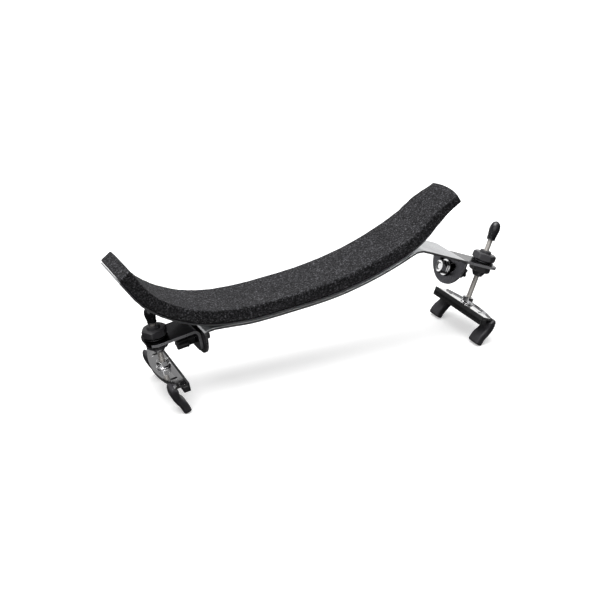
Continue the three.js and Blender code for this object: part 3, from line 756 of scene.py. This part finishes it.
def leg_rod(side):
    """Threaded from end to end, with a peened foot under the fork."""
    fork = leg_frame(side).inverted() @ Vector(joint("fork_swivel_" + side)["pos_m"])
    cap_high = cap_ends(side)[1]
    foot = fork.z - FORK_THICKNESS - GAP
    top = cap_high - 3.6
    steps = int((top - foot - 0.6) / (THREAD_PITCH / 5))
    heights = [foot + 0.3 + (top - foot - 0.6) * i / steps for i in range(steps + 1)]

    def thread(angle, radius, height):
        if radius != ROD_RADIUS:
            return radius
        turn = (height / THREAD_PITCH - angle / (2 * math.pi)) % 1
        return ROD_RADIUS - THREAD_DEPTH * (0.5 + 0.5 * math.cos(2 * math.pi * turn))

    profile = [(0, foot - 1.2), (2.2, foot - 1.2), (2.8, foot - 0.7), (3, foot - 0.1), (2.9, foot),
               (ROD_RADIUS - 0.2, foot)]
    profile += [(ROD_RADIUS, z) for z in heights] + [(ROD_RADIUS - 0.3, top), (0, top)]
    vertices, faces = lathe(profile, 28, thread)
    stand_for(new_piece("threaded_rod_" + side, vertices, faces, leg_frame(side), 70),
              "leg_rod_" + side, steel_look)


def cap_ends(side):
    """Heights of the cap's rim and tip along the leg."""
    back = leg_frame(side).inverted()
    heights = [(back @ v.co).z for v in nodes["rod_cap_" + side].data.vertices]
    return min(heights), max(heights)


def rod_cap(side):
    """Soft bullet-shaped cap with a beaded rim and a slight swell."""
    low, high = cap_ends(side)
    tall = high - low
    bead = 0.35
    outline = [(2.85, low + 0.9)]
    outline += [(radius, low + tall * share) for radius, share in (
        (2.95, 0.2), (3.3, 0.4), (3.55, 0.56), (3.45, 0.68), (3.1, 0.8), (2.45, 0.9),
        (1.5, 0.965), (0.5, 0.997))]
    body = [tuple(p) for p in smooth_line(outline, 26)]
    profile = [(0, high - 2.9), (LEG_BORE, high - 3.2), (LEG_BORE, low + 0.2), (2.2, low),
               *arc(2.65, low + bead, bead, -90, 60, 6), *body, (0, high)]
    vertices, faces = lathe(profile, 48)
    stand_for(new_piece("end_cap_" + side, vertices, faces, leg_frame(side), 50),
              "rod_cap_" + side, cap_look)


def fork_nut(side):
    """Flanged hex nut that locks the fork to the leg."""
    fork = leg_frame(side).inverted() @ Vector(joint("fork_swivel_" + side)["pos_m"])
    low = fork.z + GAP
    top = low + FORK_NUT_HEIGHT
    seat = [(LEG_BORE, low), *arc(4.3, low + 0.3, 0.3, -90, 0), (4.6, low + 0.5),
            (3.9, low + 1.1), (3.8, low + 1.25)]
    blank = hex_profile(LEG_BORE, FORK_NUT_FLATS, low + 1, top, chamfer_low=False)
    hexagon = hexagonal(FORK_NUT_FLATS)

    def shape(angle, radius, height):
        return radius if height < low + 1.2 else hexagon(angle, radius, height)

    corner = FORK_NUT_FLATS / 2 / math.cos(math.pi / 6)
    profile = seat + [(corner, low + 1.3)] + [p for p in blank[2:] if p[1] > low + 1.4]
    vertices, faces = lathe(profile, 72, shape)
    stand_for(new_piece("flange_nut_" + side, vertices, faces, leg_frame(side), 25),
              "fork_nut_" + side, chrome_look)


# ------------------------------------------------------------------ fork

# Middle line of a claw, seen along the fork: out over the plate's edge, down, and back
# in under it.
CLAW_LINE = [(-1, -0.75), (1.3, -0.8), (2.8, -1.9), (3.2, -4.2), (2.9, -7.2), (1.5, -10.4),
             (-0.2, -13), (-1.1, -15.2), (-1.5, -17)]
CLAW_START = 0.17         # share of that line left bare
CLAW_SAMPLES = 200
CLAW_EDGE = 1.4           # rounding of the sleeve's edges
CLAW_TIP = 0.42           # thicknesses by which the sleeve outreaches the line
CLAW_OFFSET = 25.5
CLAW_WIDTH = 10.6
CLAW_THICKNESS = 5


def claw(side, place, sign):
    """Rubber sleeve: a rounded block bent along the claw, pinched at its waist and
    thicker towards its tip."""
    line = smooth_line(CLAW_LINE, 121)
    first = int(CLAW_START * 120)
    line = line[first:]
    length = np.linalg.norm(np.diff(line, axis=0), axis=1).sum() + CLAW_THICKNESS * CLAW_TIP
    heading = (line[-1] - line[-2]) / np.linalg.norm(line[-1] - line[-2])
    extra = line[-1] + heading * CLAW_THICKNESS * CLAW_TIP
    line = evenly(np.vstack([line, extra]), CLAW_SAMPLES)
    last = CLAW_SAMPLES - 1
    vertices, faces = rounded_block((length, CLAW_WIDTH, CLAW_THICKNESS), CLAW_EDGE, (20, 9, 5))
    bent = []
    for x, y, z in vertices:
        share = (x / length + 0.5) * last
        i = min(max(int(share), 0), last - 1)
        at = line[i] + (line[i + 1] - line[i]) * (share - i)
        along = line[min(i + 3, last)] - line[max(i - 3, 0)]
        along /= np.linalg.norm(along)
        thick = 1 - 0.05 * math.exp(-(((x / length + 0.08) / 0.16) ** 2)) + 0.06 * max(0.0, x / length)
        bent.append((at[0] - along[1] * z * thick, sign * CLAW_OFFSET + y * thick,
                     at[1] + along[0] * z * thick))
    name = "sleeve_%s_%s" % (place, side)
    piece = new_piece(name, bent, faces, fork_frame(side), ALL_SMOOTH)
    subdivide(piece)
    stand_for(piece, "claw_%s_%s" % (place, side), sleeve_look)


FORK_LENGTH = 59
FORK_INNER_EDGE = 5.3
BUMPER_TOP = -1.8
BUMPER_LOW = -5.6
BUMPER_WALL = 1.3


def bumper(side):
    """Rubber channel on the fork's lip, with a wall that stands up beside the plate."""
    middle_x = -FORK_INNER_EDGE + FORK_THICKNESS / 2
    wall_x = -FORK_INNER_EDGE - 0.15 - BUMPER_WALL / 2
    vertices, faces = [], []
    for x, low, high, width in ((middle_x, BUMPER_LOW, BUMPER_TOP, 4.4),
                                (wall_x, BUMPER_LOW + 0.2, 0.25, BUMPER_WALL)):
        radius = 0.45 if width > 2 else 0.4
        points, quads = rounded_block((width, FORK_LENGTH + 1, high - low), radius, (4, 30, 4))
        first = len(vertices)
        vertices += [(px + x, py, pz + (low + high) / 2) for px, py, pz in points]
        faces += [[first + k for k in quad] for quad in quads]
    piece = new_piece("bumper_strip_" + side, vertices, faces, fork_frame(side), ALL_SMOOTH)
    stand_for(piece, "fork_bumper_" + side, bumper_look)


# ------------------------------------------------------------------ stage, light, camera

def floor():
    mesh = bpy.data.meshes.new("floor")
    half = 6.0
    corners = [(-half, -half, 0), (half, -half, 0), (half, half, 0), (-half, half, 0)]
    mesh.from_pydata(corners, [], [(0, 1, 2, 3)])
    piece = bpy.data.objects.new("floor", mesh)
    bpy.context.scene.collection.objects.link(piece)
    s = Shader("studio_floor", (0.88, 0.88, 0.88), 0.9)
    s.bsdf.inputs["Specular IOR Level"].default_value = 0.1
    s.bsdf.inputs["Emission Color"].default_value = (1, 1, 1, 1)
    s.bsdf.inputs["Emission Strength"].default_value = 0.35
    mesh.materials.append(s.material)
    piece.visible_glossy = piece.visible_diffuse = False


def soft_sun(name, place, angle, strength):
    """A broad distant light shining from place towards the origin."""
    data = bpy.data.lights.new(name, "SUN")
    data.angle = math.radians(angle)
    data.energy = strength
    lamp = bpy.data.objects.new(name, data)
    lamp.rotation_mode = "QUATERNION"
    lamp.rotation_quaternion = (-Vector(place)).to_track_quat("-Z", "Y")
    bpy.context.scene.collection.objects.link(lamp)


# Brightness round the rest from straight down (0) through the horizon (0.5) to straight
# up (1): a white backdrop stands behind it, and a soft box hangs over it.
BACKDROP = [(0.0, 0.05), (0.40, 0.08), (0.46, 0.95), (0.60, 1.0), (0.68, 0.26), (0.84, 0.22), (0.90, 1.6)]
DARK_ROOM = [(0.0, 0.02), (0.42, 0.03), (0.54, 0.06), (0.62, 0.26), (0.84, 0.22), (0.90, 1.7)]


def studio():
    """Lights the rest from above and behind, with a weak fill from the front and a
    glint for the right bolt; the camera itself sees plain white."""
    world = bpy.data.worlds.new("studio")
    world.use_nodes = True
    tree = world.node_tree
    link = tree.links.new
    where = tree.nodes.new("ShaderNodeTexCoord")
    split = tree.nodes.new("ShaderNodeSeparateXYZ")
    link(where.outputs["Generated"], split.inputs[0])

    def share(socket, low, high):
        node = tree.nodes.new("ShaderNodeMapRange")
        node.inputs["From Min"].default_value = low
        node.inputs["From Max"].default_value = high
        link(socket, node.inputs["Value"])
        return node.outputs["Result"]

    def tent(stops):
        node = tree.nodes.new("ShaderNodeValToRGB")
        link(share(split.outputs["Z"], -1, 1), node.inputs["Fac"])
        elements = node.color_ramp.elements
        while len(elements) < len(stops):
            elements.new(0.5)
        for element, (place, value) in zip(elements, stops):
            element.position = place
            element.color = (value, value, value, 1)
        return node.outputs["Color"]

    def mix(choice, first, second):
        node = tree.nodes.new("ShaderNodeMix")
        node.data_type = "RGBA"
        link(choice, node.inputs[0])
        link(first, node.inputs[6])
        if second is None:
            node.inputs[7].default_value = (1, 1, 1, 1)
        else:
            link(second, node.inputs[7])
        return node.outputs[2]

    behind = tree.nodes.new("ShaderNodeMath")
    behind.operation = "MULTIPLY"
    link(share(split.outputs["Y"], -0.2, 0.3), behind.inputs[0])
    link(share(split.outputs["X"], -0.5, 0.0), behind.inputs[1])
    rays = tree.nodes.new("ShaderNodeLightPath")
    room = mix(behind.outputs[0], tent(DARK_ROOM), tent(BACKDROP))
    link(mix(rays.outputs["Is Camera Ray"], room, None), tree.nodes["Background"].inputs["Color"])
    bpy.context.scene.world = world
    soft_sun("key", (-0.25, -0.1, 1), 50, 1.7)
    soft_sun("glint", (-0.545, 0.838, 0.06), 16, 0.06)
    soft_sun("fill", (-0.55, -0.8, 0.45), 60, 0.45)
    bpy.context.scene.view_settings.view_transform = "Standard"


AIM = (-0.0482, 0, 0.435)     # shares of the box's length, depth and height
CAMERA_DISTANCE = 2.991       # lengths of the rest
CAMERA_AZIMUTH = 24.24
CAMERA_ELEVATION = 23.06
CAMERA_ROLL = -1.48
CAMERA_LENS = 76.26
SENSOR_WIDTH = 36


def camera():
    size = cad_high - cad_low
    aim = Vector(((cad_low.x + cad_high.x) / 2 + AIM[0] * size.x, 0, cad_low.z + AIM[2] * size.z))
    a, e = math.radians(CAMERA_AZIMUTH), math.radians(CAMERA_ELEVATION)
    forward = Vector((math.sin(a) * math.cos(e), math.cos(a) * math.cos(e), -math.sin(e)))
    right = Vector((math.cos(a), -math.sin(a), 0))
    up = right.cross(forward)
    roll = math.radians(CAMERA_ROLL)
    right, up = (right * math.cos(roll) + up * math.sin(roll),
                 up * math.cos(roll) - right * math.sin(roll))
    data = bpy.data.cameras.new("camera")
    data.lens, data.sensor_width = CAMERA_LENS, SENSOR_WIDTH
    item = bpy.data.objects.new("camera", data)
    turn = Matrix((right, up, -forward)).transposed().to_4x4()
    item.matrix_world = Matrix.Translation(aim - forward * CAMERA_DISTANCE * size.x) @ turn
    bpy.context.scene.collection.objects.link(item)
    bpy.context.scene.camera = item


# ------------------------------------------------------------------ assembly

camera()
studio()
floor()
foam_pad()
eased_copy("carrier_strip", "carrier_sheet", 0.2, carrier_look)
bent_bar()
for side in SIDES:
    eased_copy("bar_rivet_" + side, "rivet_" + side, 0.15, steel_look)
    arm_plate(side)
    tilt_bolt(side)
    tilt_washer(side)
    tilt_knob(side)
    nut_washer(side)
    height_nut(side)
    nut_insert(side)
    lower_nut(side)
    leg_rod(side)
    rod_cap(side)
    fork_nut(side)
    eased_copy("fork_plate_" + side, "fork_" + side + "_plate", 0.22, chrome_look)
    bumper(side)
    front = 1 if side == "left" else -1
    claw(side, "front", front)
    claw(side, "back", -front)
